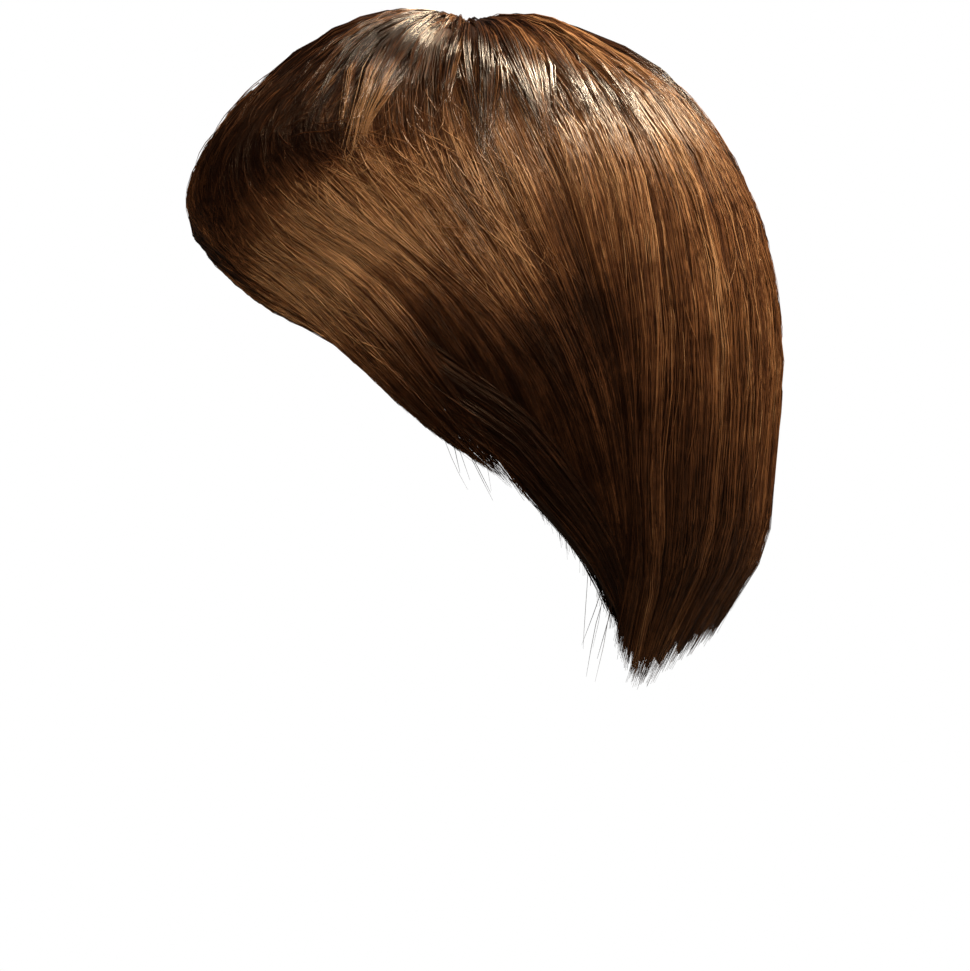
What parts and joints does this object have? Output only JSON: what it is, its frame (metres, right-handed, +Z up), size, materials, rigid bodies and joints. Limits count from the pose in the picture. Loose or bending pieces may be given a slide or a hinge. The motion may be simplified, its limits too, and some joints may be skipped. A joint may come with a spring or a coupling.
{
  "type": "wig",
  "caption": "Brown layered wig on an open net cap, with a swept fringe, sides that cover the ears and straight collar-length hair at the back.",
  "frame": {"origin": "inside the top of the cap, where the top of the head bears, straight under the crown whorl", "axes": "+Z up, the wearer looks along -Y, the wearer's left is +X"},
  "size_m": [0.2031, 0.2442, 0.2671],
  "materials": {
    "hair": "shiny synthetic hair fibre, satin along the strands",
    "cap_net": "matte dark net cloth"
  },
  "bodies": {
    "root": {"cap": "cap_net", "crown_hair": "hair", "fringe_hair": "hair", "side_hair_left": "hair", "side_hair_right": "hair", "back_hair": "hair", "nape_hair": "hair"}
  },
  "joints": []
}
